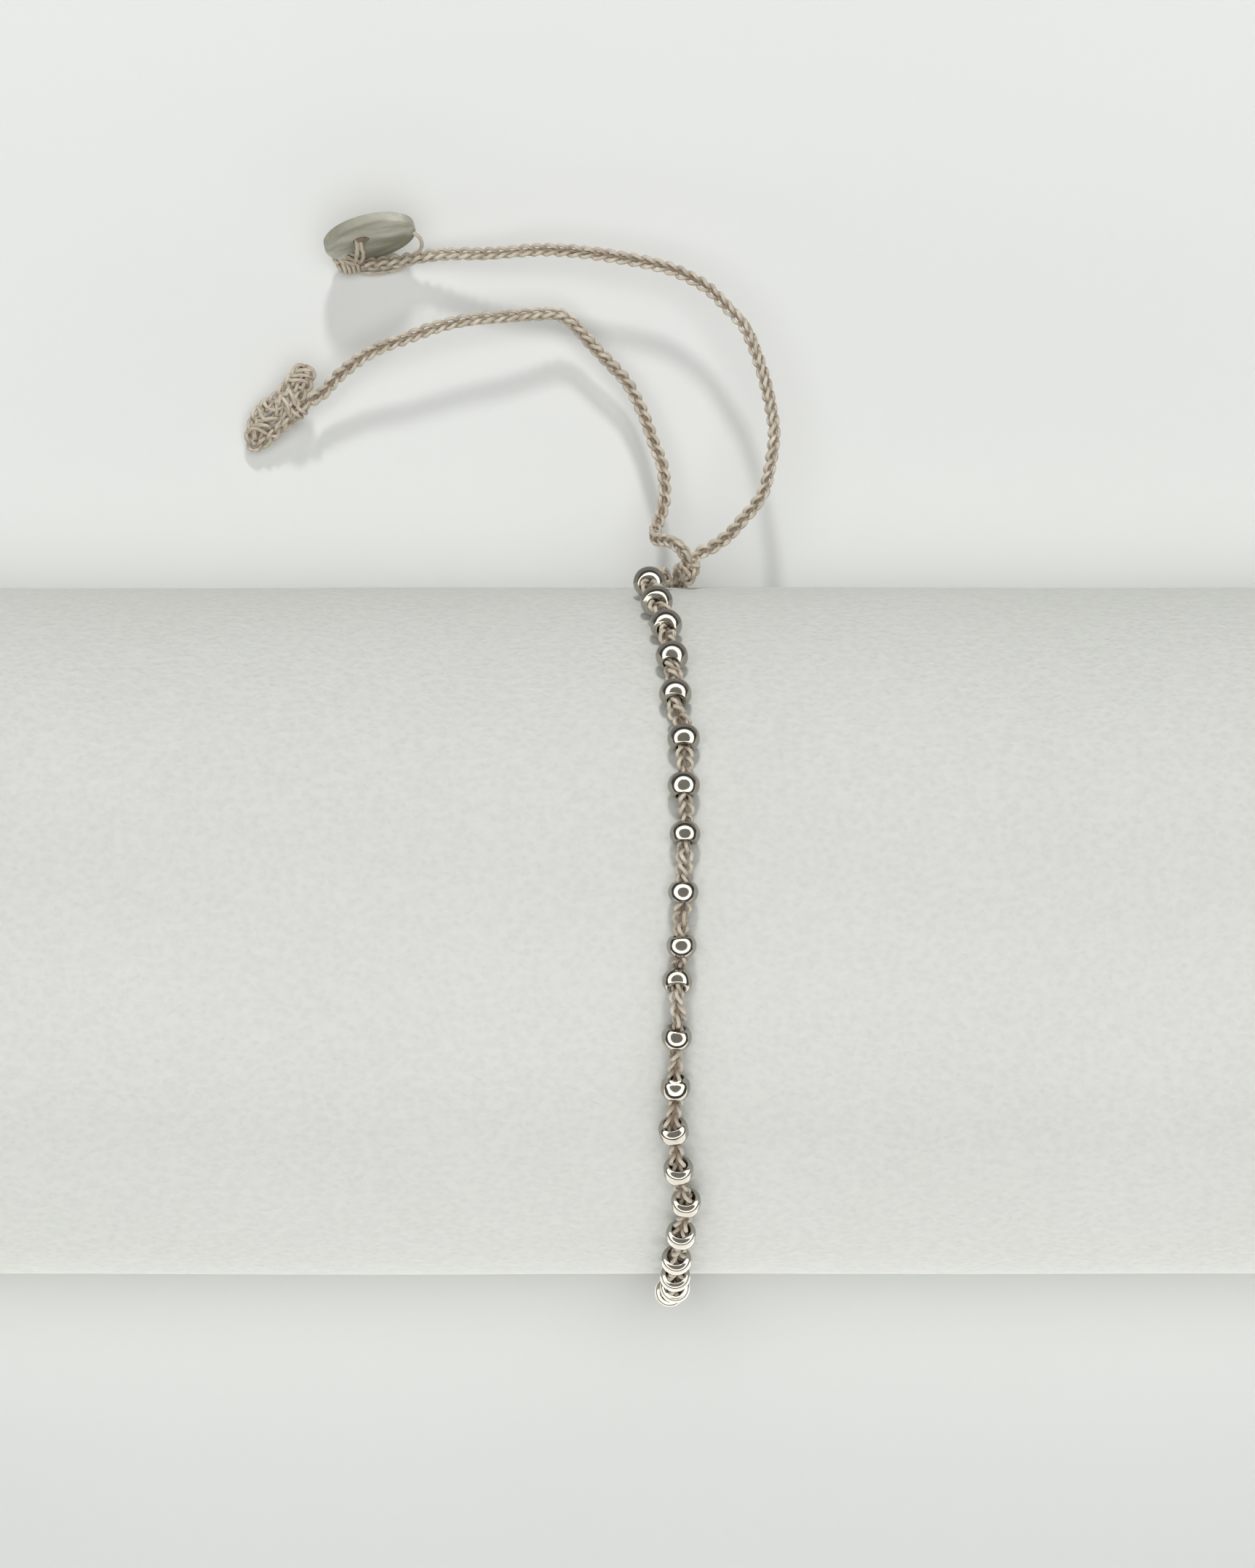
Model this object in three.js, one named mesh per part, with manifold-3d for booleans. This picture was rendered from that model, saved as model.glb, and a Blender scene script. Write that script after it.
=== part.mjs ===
// A crocheted bracelet of small silver beads, worn round a half-round padded display bolster.
// Its two ends are tied at the bolster's back edge. One free tail ends in a round button and the
// other in the crocheted loop that the button goes through.
//
// Millimetres. +X runs along the bolster, +Y to the back and +Z up. The origin is the middle of the
// bolster's underside.

import * as THREE from 'three';
import { mergeVertices } from 'three/addons/utils/BufferGeometryUtils.js';
import Module from 'manifold-3d';

const wasm = await Module();
wasm.setup();

const X_AXIS = new THREE.Vector3(1, 0, 0);
const RIGHT_ANGLE = Math.PI / 2;

// Driving dimensions
const BOLSTER = {
  length: 150,
  radius: 29.65,
  axisHeight: 6,
  cornerRadius: 6,
  endRounding: 1.4,
  arcSegments: 14,
};
const BEAD = { radius: 1.25, holeRadius: 0.63, length: 1.8, sides: 10 };
const SEAT_GAP = 0.3;
const CORD = { coreRadius: 0.29, crochetRadius: 0.64, sides: 8 };
const TAIL = { diameter: 1.2, sides: 8, steps: 34 };
const KNOT = { length: 2.6, x: 1.1, y: 31.15, z: 9.5 };
const BUTTON = { radius: 4, thickness: 1.2, holeRadius: 0.5, lean: 68, turn: 13.4, x: -26.5, y: 60.05 };
const LOOP = { length: 10, width: 2.7, thickness: 1.2, x: -34.3, y: 45.4, heading: 53.9, rise: 18.5 };

// The route of the bead centres round the bolster: one big arc over it, a small arc at each lower
// edge and a straight run in the groove under it
const RING = {
  radius: BOLSTER.radius + SEAT_GAP + BEAD.radius,
  edgeRadius: 4.4,
};
RING.quarter = RING.radius * RIGHT_ANGLE;
RING.edgeArc = RING.edgeRadius * RIGHT_ANGLE;
RING.flatHalf = RING.radius - RING.edgeRadius;

const GROOVE = {
  width: 3.3,
  cornerRadius: RING.edgeRadius - BEAD.radius - SEAT_GAP,
};

// The beads in view, from the back edge over the top to the front edge: angle from the top of the
// bolster, sideways offset, and how far each is tipped (tilt) or turned (skew) from the cord's line
const SEEN_BEADS = [
  { angle: -74.4, side: -2.3, tilt: 0, skew: -10 },
  { angle: -65.5, side: -1.7, tilt: 0, skew: -9 },
  { angle: -57.7, side: -0.9, tilt: 0, skew: -8 },
  { angle: -49.3, side: -0.4, tilt: 0, skew: -6 },
  { angle: -40.9, side: -0.1, tilt: 0, skew: -5 },
  { angle: -32.1, side: 0.6, tilt: 0, skew: 0 },
  { angle: -23.8, side: 0.6, tilt: 0, skew: 0 },
  { angle: -15.7, side: 0.7, tilt: 0, skew: 0 },
  { angle: -6.4, side: 0.55, tilt: -8, skew: 0 },
  { angle: 2.0, side: 0.4, tilt: -6, skew: 3 },
  { angle: 7.6, side: 0.05, tilt: 42, skew: 0 },
  { angle: 16.6, side: 0, tilt: -8, skew: -8 },
  { angle: 25.2, side: -0.1, tilt: 0, skew: 0 },
  { angle: 33.1, side: -0.25, tilt: -16, skew: 8 },
  { angle: 41.0, side: 0.15, tilt: -12, skew: 0 },
  { angle: 48.1, side: 0.8, tilt: -12, skew: 0 },
  { angle: 56.5, side: 0.4, tilt: -6, skew: 0 },
  { angle: 65.0, side: 0, tilt: 0, skew: 0 },
  { angle: 72.5, side: -0.1, tilt: 0, skew: 0 },
  { angle: 80.5, side: -0.1, tilt: 0, skew: 0 },
  { angle: 90.0, side: -0.55, tilt: 0, skew: 0 },
];
const HIDDEN = { count: 14, pitch: 4.49, side: 0 };

// The closed outline of a bead's wall, as shares of its radius and half length
const BEAD_WALL = [
  { out: BEAD.holeRadius / BEAD.radius, along: -0.8 },
  { out: 0.64, along: -1 },
  { out: 0.84, along: -0.91 },
  { out: 1, along: -0.34 },
  { out: 1, along: 0.34 },
  { out: 0.84, along: 0.91 },
  { out: 0.64, along: 1 },
  { out: BEAD.holeRadius / BEAD.radius, along: 0.8 },
];

// Where the free tails run, from the knot outwards
const BUTTON_TAIL = [
  [2.05, 32.65, 9.7], [2.9, 33.0, 9.75], [4.75, 34.4, 9.7], [5.75, 35.6, 9.6], [6.8, 36.8, 9.45],
  [7.55, 38.1, 9.3], [8.25, 41.15, 8.85], [8.45, 43.0, 8.5], [8.05, 46.0, 7.9], [7.0, 49.9, 7.1],
  [5.9, 52.4, 6.5], [4.6, 53.85, 6.0], [2.95, 55.5, 5.4], [1.3, 56.5, 5.0], [-0.7, 57.35, 4.7],
  [-5.3, 58.3, 4.5], [-10.8, 58.85, 4.2], [-16.3, 58.5, 3.3], [-19.95, 58.5, 2.5],
  [-22.3, 57.95, 1.9], [-23.9, 57.55, 1.4], [-25.5, 57.25, 0.95], [-26.9, 57.1, 0.68],
];
const LOOP_TAIL = [
  [0.35, 33.1, 10.05], [-0.2, 33.6, 9.3], [-1.0, 33.85, 8.2], [-1.75, 33.95, 6.9], [-1.9, 34.5, 5.5],
  [-1.5, 35.5, 4.6], [-1.05, 37.0, 4.1], [-1.0, 38.6, 3.9], [-1.25, 40.5, 3.7], [-1.9, 42.2, 3.5],
  [-2.5, 43.95, 3.3], [-3.15, 45.55, 3.1], [-4.2, 47.45, 2.9], [-5.3, 48.7, 2.8], [-7.15, 50.6, 2.9],
  [-9.1, 52.7, 3.1], [-10.25, 53.3, 3.3], [-12.0, 53.3, 3.6], [-14.9, 53.05, 4.0], [-17.7, 52.8, 4.2],
  [-20.55, 52.2, 4.3], [-23.4, 51.2, 4.2], [-26.3, 50.1, 3.9], [-29.1, 48.1, 3.3], [-30.75, 46.4, 2.8],
];

// Materials
const material = (name, color, roughness, metalness = 0) =>
  new THREE.MeshStandardMaterial({ name, color, roughness, metalness });
const SILVER = material('silver', 0xd8d6d0, 0.12, 1);
const SILK = material('silk', 0xbeaf9b, 0.7);
const SHELL = material('shell', 0x9c9f88, 0.35);
const LEATHERETTE = material('leatherette', 0xdcded8, 0.6);

const radians = (degrees) => THREE.MathUtils.degToRad(degrees);

function toSolid(geometry) {
  const bare = geometry.clone();
  bare.deleteAttribute('normal');
  bare.deleteAttribute('uv');
  const merged = mergeVertices(bare, 1e-4);
  return new wasm.Manifold(new wasm.Mesh({
    numProp: 3,
    vertProperties: new Float32Array(merged.attributes.position.array),
    triVerts: new Uint32Array(merged.index.array),
  }));
}

function toGeometry(solid) {
  const mesh = solid.getMesh();
  const geometry = new THREE.BufferGeometry();
  geometry.setAttribute('position', new THREE.BufferAttribute(new Float32Array(mesh.vertProperties), 3));
  geometry.setIndex(new THREE.BufferAttribute(new Uint32Array(mesh.triVerts), 1));
  geometry.computeVertexNormals();
  return geometry;
}

function named(name, geometry, look) {
  const mesh = new THREE.Mesh(geometry, look);
  mesh.name = name;
  return mesh;
}

// Stands a section drawn in Y and Z up along X, centred on the bracelet
function alongBolster(shape, length, options) {
  const section = new THREE.ExtrudeGeometry(shape, { depth: length, bevelEnabled: false, ...options });
  const toRow = new THREE.Matrix4().makeBasis(
    new THREE.Vector3(0, 1, 0), new THREE.Vector3(0, 0, 1), X_AXIS,
  );
  return section.translate(0, 0, -length / 2).applyMatrix4(toRow);
}

function bolsterSection() {
  const { radius, axisHeight, cornerRadius } = BOLSTER;
  const inner = radius - cornerRadius;
  const shape = new THREE.Shape();
  shape.absarc(0, axisHeight, radius, 0, Math.PI, false);
  shape.absarc(-inner, cornerRadius, cornerRadius, Math.PI, 3 * RIGHT_ANGLE, false);
  shape.absarc(inner, cornerRadius, cornerRadius, 3 * RIGHT_ANGLE, 4 * RIGHT_ANGLE, false);
  return shape;
}

function grooveSection() {
  const { radius, axisHeight } = BOLSTER;
  const inner = radius - GROOVE.cornerRadius;
  const clear = radius + 5;
  const shape = new THREE.Shape();
  shape.moveTo(clear, -5);
  shape.lineTo(clear, axisHeight);
  shape.absarc(inner, axisHeight, GROOVE.cornerRadius, 0, -RIGHT_ANGLE, true);
  shape.absarc(-inner, axisHeight, GROOVE.cornerRadius, -RIGHT_ANGLE, -Math.PI, true);
  shape.lineTo(-clear, axisHeight);
  shape.lineTo(-clear, -5);
  return shape;
}

function bolster() {
  const { length, endRounding, arcSegments } = BOLSTER;
  const body = alongBolster(bolsterSection(), length - 2 * endRounding, {
    curveSegments: arcSegments,
    bevelEnabled: true,
    bevelThickness: endRounding,
    bevelSize: endRounding,
    bevelOffset: -endRounding,
    bevelSegments: 2,
  });
  const groove = alongBolster(grooveSection(), GROOVE.width, { curveSegments: 4 });
  return toGeometry(toSolid(body).subtract(toSolid(groove)));
}

// The route's place, direction and outward side at a distance along it from the top of the bolster
function onRing(distance) {
  const { radius, edgeRadius, quarter, edgeArc, flatHalf } = RING;
  const axisHeight = BOLSTER.axisHeight;
  const around = (centreY, arcRadius, turn) => ({
    place: new THREE.Vector3(0, centreY - arcRadius * Math.sin(turn), axisHeight + arcRadius * Math.cos(turn)),
    outward: new THREE.Vector3(0, -Math.sin(turn), Math.cos(turn)),
    ahead: new THREE.Vector3(0, -Math.cos(turn), -Math.sin(turn)),
  });
  if (distance <= quarter) return around(0, radius, distance / radius);
  const pastFront = distance - quarter;
  if (pastFront <= edgeArc) return around(-flatHalf, edgeRadius, RIGHT_ANGLE + pastFront / edgeRadius);
  const pastEdge = pastFront - edgeArc;
  if (pastEdge <= 2 * flatHalf) {
    const flat = around(0, edgeRadius, Math.PI);
    flat.place.y = pastEdge - flatHalf;
    return flat;
  }
  return around(flatHalf, edgeRadius, Math.PI + (pastEdge - 2 * flatHalf) / edgeRadius);
}

function placedBead({ distance, side, tilt, skew }) {
  const { place, outward, ahead } = onRing(distance);
  place.x = side;
  const tip = new THREE.Quaternion().setFromAxisAngle(X_AXIS, radians(-tilt));
  outward.applyQuaternion(tip);
  ahead.applyQuaternion(tip).applyAxisAngle(outward, radians(skew));
  return { place, outward, ahead, turned: Math.hypot(tilt, skew) };
}

function allBeads() {
  const seen = SEEN_BEADS.map(({ angle, ...rest }) => ({ distance: radians(angle) * RING.radius, ...rest }));
  const last = seen.at(-1).distance;
  const hidden = Array.from({ length: HIDDEN.count }, (_, i) => (
    { distance: last + (i + 1) * HIDDEN.pitch, side: HIDDEN.side, tilt: 0, skew: 0 }
  ));
  return [...seen, ...hidden].map(placedBead);
}

function beadGeometry() {
  const wall = [...BEAD_WALL, BEAD_WALL[0]];
  const outline = wall.map(({ out, along }) => (
    new THREE.Vector2(out * BEAD.radius, along * BEAD.length / 2)
  ));
  return new THREE.LatheGeometry(outline, BEAD.sides);
}

function beadMesh({ place, outward, ahead }, number) {
  const bead = named(`bead_${String(number).padStart(2, '0')}`, beadGeometry(), SILVER);
  const across = new THREE.Vector3().crossVectors(ahead, outward);
  bead.quaternion.setFromRotationMatrix(new THREE.Matrix4().makeBasis(across, ahead, outward));
  bead.position.copy(place);
  return bead;
}

// The crocheted cord: thin where it passes through a bead, full between two beads, and slimmer next to
// a bead that is turned out of line. It is turned as a straight lathe form with one ring for each stop,
// and each ring is then set on the route.
function beadCord(beads) {
  const mouth = BEAD.length / 2 + 0.12;
  const start = [new THREE.Vector3(-0.55, 30.6, 9.7), new THREE.Vector3(-1.45, 30.6, 10.7)];
  const finish = [new THREE.Vector3(0.5, 31.05, 5.2), new THREE.Vector3(1.05, 31.15, 7.9)];
  const through = beads.flatMap(({ place, ahead }) => (
    [-mouth, mouth].map((step) => place.clone().addScaledVector(ahead, step))
  ));
  const stops = [...start, ...through, ...finish];
  const route = new THREE.CatmullRomCurve3(stops, false, 'centripetal');
  const rings = [];
  const addRing = (stop, radius) => rings.push({ at: stop / (stops.length - 1), radius });

  const fullEnds = (from, to) => {
    for (let stop = from; stop <= to + 1e-6; stop += 0.25) addRing(stop, CORD.crochetRadius - 0.05);
  };
  fullEnds(0, start.length - 0.25);
  beads.forEach((bead, i) => {
    const into = start.length + 2 * i;
    addRing(into, CORD.coreRadius);
    addRing(into + 1, CORD.coreRadius);
    if (i + 1 < beads.length) {
      const gap = stops[into + 1].distanceTo(stops[into + 2]);
      const full = Math.max(CORD.coreRadius, Math.min(CORD.crochetRadius, 0.38 * (gap - 0.5)));
      const beside = ({ turned }) => Math.max(CORD.coreRadius, full * (0.93 - turned / 60));
      addRing(into + 1.24, beside(bead));
      addRing(into + 1.5, full);
      addRing(into + 1.76, beside(beads[i + 1]));
    }
  });
  fullEnds(start.length + through.length - 0.75, stops.length - 1);

  const outline = rings.map(({ radius }, i) => new THREE.Vector2(radius, i));
  outline.unshift(new THREE.Vector2(0, 0));
  outline.push(new THREE.Vector2(0, rings.length - 1));
  const cord = new THREE.LatheGeometry(outline, CORD.sides);
  const frames = rings.map(({ at }) => {
    const ahead = route.getTangent(at);
    const across = X_AXIS.clone().addScaledVector(ahead, -ahead.dot(X_AXIS)).normalize();
    const out = new THREE.Vector3().crossVectors(across, ahead);
    return { place: route.getPoint(at), across, out };
  });
  const points = cord.attributes.position;
  for (let i = 0; i < points.count; i += 1) {
    const { place, across, out } = frames[Math.round(points.getY(i))];
    const set = place.clone().addScaledVector(across, points.getX(i)).addScaledVector(out, points.getZ(i));
    points.setXYZ(i, set.x, set.y, set.z);
  }
  return cord;
}

function tieKnot() {
  const half = KNOT.length / 2;
  const outline = [
    [0, -half], [0.7, -0.93 * half], [1.1, -0.55 * half], [1.14, -0.1 * half],
    [0.95, 0.4 * half], [0.78, 0.8 * half], [0.4, half], [0, half],
  ].map(([out, along]) => new THREE.Vector2(out, along));
  const knot = named('tie_knot', new THREE.LatheGeometry(outline, 12), SILK);
  knot.position.set(KNOT.x, KNOT.y, KNOT.z);
  return knot;
}

function tailGeometry(points) {
  const route = new THREE.CatmullRomCurve3(points.map((p) => new THREE.Vector3(...p)), false, 'centripetal');
  const section = new THREE.Shape();
  for (let i = 0; i < TAIL.sides; i += 1) {
    const turn = (i / TAIL.sides) * 2 * Math.PI;
    const place = [Math.cos(turn) * TAIL.diameter / 2, Math.sin(turn) * TAIL.diameter / 2];
    if (i === 0) section.moveTo(...place);
    else section.lineTo(...place);
  }
  section.closePath();
  return new THREE.ExtrudeGeometry(section, { steps: TAIL.steps, extrudePath: route });
}

// The button loop: two runs of chain side by side, joined round at both ends
function loopOutline(path, length, width) {
  const reach = (length - width) / 2;
  path.absarc(reach, 0, width / 2, -RIGHT_ANGLE, RIGHT_ANGLE, false);
  path.absarc(-reach, 0, width / 2, RIGHT_ANGLE, 3 * RIGHT_ANGLE, false);
  return path;
}

function buttonLoop() {
  const { length, width, thickness } = LOOP;
  const wall = thickness;
  const outline = loopOutline(new THREE.Shape(), length, width);
  outline.holes.push(loopOutline(new THREE.Path(), length - 2 * wall, width - 2 * wall));
  const round = 0.12;
  const ring = new THREE.ExtrudeGeometry(outline, {
    depth: thickness - 2 * round,
    curveSegments: 4,
    bevelThickness: round,
    bevelSize: round,
    bevelOffset: -round,
    bevelSegments: 1,
  }).translate(0, 0, round - thickness / 2);
  const loop = named('button_loop', ring, SILK);
  const rise = radians(LOOP.rise);
  const low = length / 2 * Math.sin(rise) + thickness / 2 * Math.cos(rise);
  loop.rotation.set(0, -rise, radians(LOOP.heading), 'ZYX');
  loop.position.set(LOOP.x, LOOP.y, low);
  return loop;
}

// The button leans back on its lower rim. Its faces are dished inside a raised rim, and it has two
// holes in line with the cord.
function button() {
  const { radius, thickness, holeRadius, lean, turn } = BUTTON;
  const half = thickness / 2;
  const outline = [
    [0, -half + 0.2], [radius - 0.9, -half + 0.2], [radius - 0.5, -half], [radius - 0.15, -half + 0.1],
    [radius, -half + 0.35], [radius, half - 0.35], [radius - 0.15, half - 0.1], [radius - 0.5, half],
    [radius - 0.9, half - 0.2], [0, half - 0.2],
  ].map(([out, along]) => new THREE.Vector2(out, along));
  const disc = toSolid(new THREE.LatheGeometry(outline, 32));
  const drill = (x, z) => toSolid(
    new THREE.CylinderGeometry(holeRadius, holeRadius, 2 * thickness, 10).translate(x, 0, z),
  );
  const drilled = disc.subtract(drill(-0.55, -0.2)).subtract(drill(-1.15, 1.9));
  const piece = named('button', toGeometry(drilled), SHELL);
  const tip = radians(lean);
  const level = new THREE.Vector3(Math.cos(radians(turn)), Math.sin(radians(turn)), 0);
  const face = new THREE.Vector3(
    Math.sin(radians(turn)) * Math.sin(tip), -Math.cos(radians(turn)) * Math.sin(tip), Math.cos(tip),
  );
  const down = new THREE.Vector3().crossVectors(level, face);
  piece.quaternion.setFromRotationMatrix(new THREE.Matrix4().makeBasis(level, face, down));
  piece.position.set(BUTTON.x, BUTTON.y, radius * Math.sin(tip) + half * Math.cos(tip));
  return piece;
}

function shankKnot() {
  const lump = new THREE.SphereGeometry(0.75, 10, 6).scale(1.15, 0.85, 1);
  const knot = named('button_shank_knot', lump, SILK);
  knot.position.set(-28.4, 57.02, 0.85);
  return knot;
}

const bracelet = new THREE.Group();
const beads = allBeads();
bracelet.add(named('display_bolster', bolster(), LEATHERETTE));
beads.forEach((bead, i) => bracelet.add(beadMesh(bead, i + 1)));
bracelet.add(named('bead_cord', beadCord(beads), SILK));
bracelet.add(tieKnot());
bracelet.add(named('tail_button_side', tailGeometry(BUTTON_TAIL), SILK));
bracelet.add(named('tail_loop_side', tailGeometry(LOOP_TAIL), SILK));
bracelet.add(button());
bracelet.add(shankKnot());
bracelet.add(buttonLoop());

export default bracelet;
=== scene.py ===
# A crocheted bracelet of small silver beads, shown round a half-round padded bolster, with a shell button
# on one free tail and a button loop on the other. Lengths are metres where no comment says millimetres,
# +Z is up and +Y is the back.

import math

import bpy
import numpy as np
from mathutils import Matrix, Vector, noise


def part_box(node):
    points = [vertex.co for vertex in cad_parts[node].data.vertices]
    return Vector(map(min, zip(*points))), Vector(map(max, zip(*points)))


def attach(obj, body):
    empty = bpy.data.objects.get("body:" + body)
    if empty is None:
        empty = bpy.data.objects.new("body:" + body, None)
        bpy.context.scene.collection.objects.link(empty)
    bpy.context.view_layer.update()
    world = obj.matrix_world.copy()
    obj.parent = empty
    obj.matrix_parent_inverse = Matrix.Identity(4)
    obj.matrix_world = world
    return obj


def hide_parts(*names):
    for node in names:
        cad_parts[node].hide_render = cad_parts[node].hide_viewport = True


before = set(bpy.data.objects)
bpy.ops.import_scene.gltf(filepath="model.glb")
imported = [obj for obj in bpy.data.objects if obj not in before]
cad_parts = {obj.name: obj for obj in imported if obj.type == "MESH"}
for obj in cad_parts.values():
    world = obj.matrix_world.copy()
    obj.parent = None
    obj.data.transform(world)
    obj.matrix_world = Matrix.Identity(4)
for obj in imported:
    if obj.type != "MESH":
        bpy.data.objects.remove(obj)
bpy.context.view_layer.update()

MM = 0.001
FULL_TURN = 2 * math.pi
RIGHT_ANGLE = math.pi / 2

# The bolster, with a seam near each end, shallow swells and puckers in its padding, and a groove below
BOLSTER_LENGTH = 150 * MM
BOLSTER_RADIUS = 29.65 * MM
BOLSTER_AXIS_HEIGHT = 6 * MM
BOLSTER_CORNER = 6 * MM
BOLSTER_END_ROUNDING = 1.4 * MM
BOLSTER_CROWN = 0.6 * MM
SEAM_PLACE = BOLSTER_LENGTH / 2 - 2.1 * MM
SEAM_DEPTH, SEAM_WIDTH = 0.28 * MM, 0.28 * MM
SWELL_DEPTH, SWELL_SIZE = 0.13 * MM, 26 * MM
PUCKER_DEPTH, PUCKER_REACH = 0.16 * MM, 5 * MM
GROOVE_HALF_WIDTH = 1.65 * MM
GROOVE_EDGE = (0.19 * MM, -0.15 * MM)
GROOVE_CORNER = 2.85 * MM
END_MIDDLE_HEIGHT = 14 * MM
END_RINGS = (0.93, 0.8, 0.6, 0.35)
TOP_STEPS, CORNER_STEPS, BASE_STEPS, END_STEPS = 110, 10, 16, 7

# The beads
BEAD_COUNT = 35
BEAD_RADIUS = 1.28 * MM
BEAD_HOLE_RADIUS = 0.6 * MM
BEAD_LENGTH = 1.8 * MM
BEAD_BARREL = 1.18 * MM
BEAD_FLAT_END = 0.84 * MM
BEAD_END_SLOPE = 0.12
BEAD_UNEVEN_ENDS = 0.13
BEAD_LIP = 0.07 * MM
BEAD_DENT, BEAD_DENT_SIZE = 0.03 * MM, 1.05 * MM
BEAD_TARNISH = 0.8
# Those at the front are longer and cleaner drums, with a round shoulder and a wide hole at the upper end
DRUM_SHOULDER = 0.45 * MM
DRUM_WIDE_HOLE = 0.8 * MM
DRUM_EXTRA_END = 0.4 * MM
DRUM_CLEANER = 0.6
# How much larger those in view are, and how much more those at the back
IN_VIEW_LARGER, AT_BACK_LARGER = 0.02, 0.08
# How differently each next bead is turned, dented and cut
TURN_STEP, DENT_STEP, CUT_STEP = 2.4, 3.7, 2.1

# The crocheted cord
YARN_RADIUS = 0.175 * MM
YARN_SIDES = 7
YARN_PLIES = 3.0
PLY_DEPTH = 0.03 * MM
CORE_RADIUS = 0.21 * MM
STITCH_LENGTH = 1.06 * MM
STITCH_STEPS = 3
# Yarn is deepest, and darkest with painted shade, up to the first distance from the cord's middle, and
# outside from there by the second
DEEPEST_WITHIN, DEPTH_REACH = 0.12 * MM, 0.26 * MM
# How close together the points lie on the cord, the tails, the loop, single threads and the tie knot
CORD_SPACING, TAIL_SPACING, LOOP_SPACING = 0.2 * MM, 0.25 * MM, 0.15 * MM
THREAD_SPACING, KNOT_SPACING = 0.12 * MM, 0.1 * MM
# The chain's width inside the beads and how much wider it is in the drums, its width between the beads and
# how much wider it is at the back, and how far and how often it turns either way
INSIDE_BEADS, WIDER_IN_DRUMS = 1.05, 0.5
BETWEEN_BEADS, WIDER_AT_BACK = 1.3, 0.3
WOBBLE, WOBBLE_LENGTH = 2.4, 3.6 * MM
# Where the cord goes into a bead and comes out, from the bead's middle
MOUTH = BEAD_LENGTH / 2 + 0.12 * MM
# Where the cord starts and finishes, at the tie knot, in millimetres
CORD_START = [(-0.55, 30.6, 9.7), (-1.45, 30.6, 10.7)]
CORD_FINISH = [(0.5, 31.05, 5.2), (1.05, 31.15, 7.9)]

# One chain stitch of yarn: how far along the cord, in stitches, then to the side and up, in millimetres.
# The two legs rise side by side through the stitch before, spread into a V, and meet in a head that lies
# behind the next stitch's legs. The yarn then runs along the back to the next stitch.
CHAIN_STITCH = [
    (0.00, 0.00, -0.36),
    (0.16, -0.13, -0.12),
    (0.38, -0.17, 0.18),
    (0.72, -0.33, 0.30),
    (1.10, -0.41, 0.15),
    (1.40, -0.23, -0.05),
    (1.50, 0.00, -0.10),
    (1.40, 0.23, -0.05),
    (1.10, 0.41, 0.15),
    (0.72, 0.33, 0.30),
    (0.38, 0.17, 0.18),
    (0.20, 0.15, -0.16),
    (0.55, 0.08, -0.38),
]

# The free tails' routes, from the tie knot outwards, in millimetres
BUTTON_TAIL = [
    (2.05, 32.65, 9.7), (2.9, 33.0, 9.75), (4.75, 34.4, 9.7), (5.75, 35.6, 9.6), (6.8, 36.8, 9.45),
    (7.55, 38.1, 9.3), (8.25, 41.15, 8.85), (8.45, 43.0, 8.5), (8.05, 46.0, 7.9), (7.0, 49.9, 7.1),
    (5.9, 52.4, 6.5), (4.6, 53.85, 6.0), (2.95, 55.5, 5.4), (1.3, 56.5, 5.0), (-0.7, 57.35, 4.7),
    (-5.3, 58.3, 4.5), (-10.8, 58.85, 4.2), (-16.3, 58.5, 3.3), (-19.95, 58.5, 2.5),
    (-22.3, 57.95, 1.9), (-23.9, 57.55, 1.4), (-25.5, 57.25, 0.95), (-26.9, 57.1, 0.68),
]
LOOP_TAIL = [
    (0.35, 33.1, 10.05), (-0.2, 33.6, 9.3), (-1.0, 33.85, 8.2), (-1.75, 33.95, 6.9), (-1.9, 34.5, 5.5),
    (-1.5, 35.5, 4.6), (-1.05, 37.0, 4.1), (-1.0, 38.6, 3.9), (-1.25, 40.5, 3.7), (-1.9, 42.2, 3.5),
    (-2.5, 43.95, 3.3), (-3.15, 45.55, 3.1), (-4.2, 47.45, 2.9), (-5.3, 48.7, 2.8), (-7.15, 50.6, 2.9),
    (-9.1, 52.7, 3.1), (-10.25, 53.3, 3.3), (-12.0, 53.3, 3.6), (-14.9, 53.05, 4.0), (-17.7, 52.8, 4.2),
    (-20.55, 52.2, 4.3), (-23.4, 51.2, 4.2), (-26.3, 50.1, 3.9), (-29.1, 48.1, 3.3), (-30.75, 46.4, 2.8),
]
# Where the button tail's chain goes from there on, close by the button, in place of its last points
BY_BUTTON = [
    (-22.3, 58.25, 1.9), (-23.9, 57.95, 1.45), (-25.5, 57.8, 1.05), (-26.9, 57.7, 0.85), (-28.2, 57.8, 0.9),
]
REPLACED_BY_BUTTON = 4

# The button
BUTTON_RADIUS = 4 * MM
BUTTON_THICKNESS = 0.9 * MM
BUTTON_LEAN = math.radians(68)
BUTTON_TURN = math.radians(13.4)
BUTTON_RIM = 0.55 * MM
BUTTON_EDGE = 0.14 * MM
# The slopes of its dish inside the rim: how wide each is, and how far it drops
BUTTON_DISH = [(0.25 * MM, 0.16 * MM), (0.9 * MM, 0.05 * MM)]
# Its thread holes: millimetres along its level width, down its face, and radius
BUTTON_HOLES = [(-0.8, -0.15, 0.75), (-1.15, 1.9, 0.5)]
# How dark the button's face is from upper left to lower right, with painted shade at the lower right: share
# of the way, and how dark
BUTTON_PAINTED_SHADE = [(0.06, 0.5), (0.16, 0.28), (0.30, 0.0), (0.62, 0.05), (0.86, 0.8)]
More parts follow.
